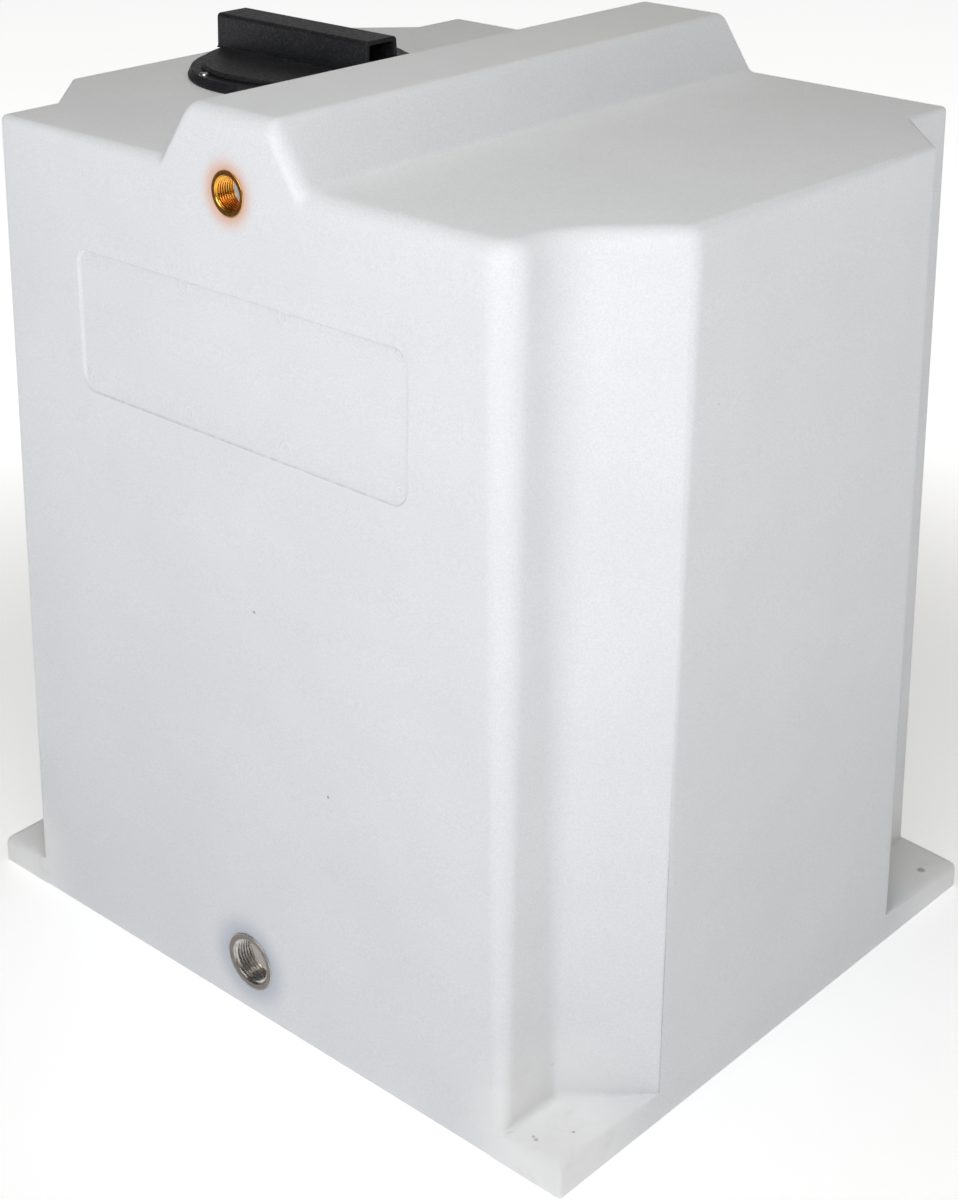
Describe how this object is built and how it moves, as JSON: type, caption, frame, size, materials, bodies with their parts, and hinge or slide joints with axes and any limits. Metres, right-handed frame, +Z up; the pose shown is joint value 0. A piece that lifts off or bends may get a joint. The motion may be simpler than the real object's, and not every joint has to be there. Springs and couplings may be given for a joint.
{
  "type": "feed and expansion tank",
  "caption": "Upright moulded polyethylene tank with a flanged base, a ridged top, threaded inserts in the front and a screw lid.",
  "frame": {"origin": "centre of the base on the floor", "axes": "+Z up; the face with the threaded inserts looks towards -Y; the lid is on the -X shoulder"},
  "size_m": [0.56, 0.464, 0.62],
  "materials": {
    "tank_plastic": "translucent natural polyethylene, satin",
    "black_plastic": "black moulded polypropylene, fine satin grain",
    "brass": "machined, dulled",
    "stainless_steel": "turned stainless",
    "screw_steel": "bright stainless",
    "seal_rubber": "matt EPDM"
  },
  "bodies": {
    "tank": {"tank_shell": "tank_plastic", "upper_insert": "brass", "lower_insert": "stainless_steel", "neck_gasket": "seal_rubber", "neck_ring": "black_plastic", "ring_screws": "screw_steel"},
    "seal": {"lid_seal": "seal_rubber"},
    "lid": {"lid": "black_plastic"}
  },
  "joints": [
    {"name": "lid_lift", "type": "slide", "parent": "tank", "child": "seal", "axis": [0, 0, 1], "range_m": [0, 0.0135]},
    {"name": "lid_turn", "type": "hinge", "parent": "seal", "child": "lid", "pos_m": [-0.16, 0, 0.59], "axis": [0, 0, 1], "range_deg": [0, 810]}
  ],
  "couplings": [
    {"joint": "lid_lift", "follows": "lid_turn", "m_per_rad": 0.0009549}
  ]
}
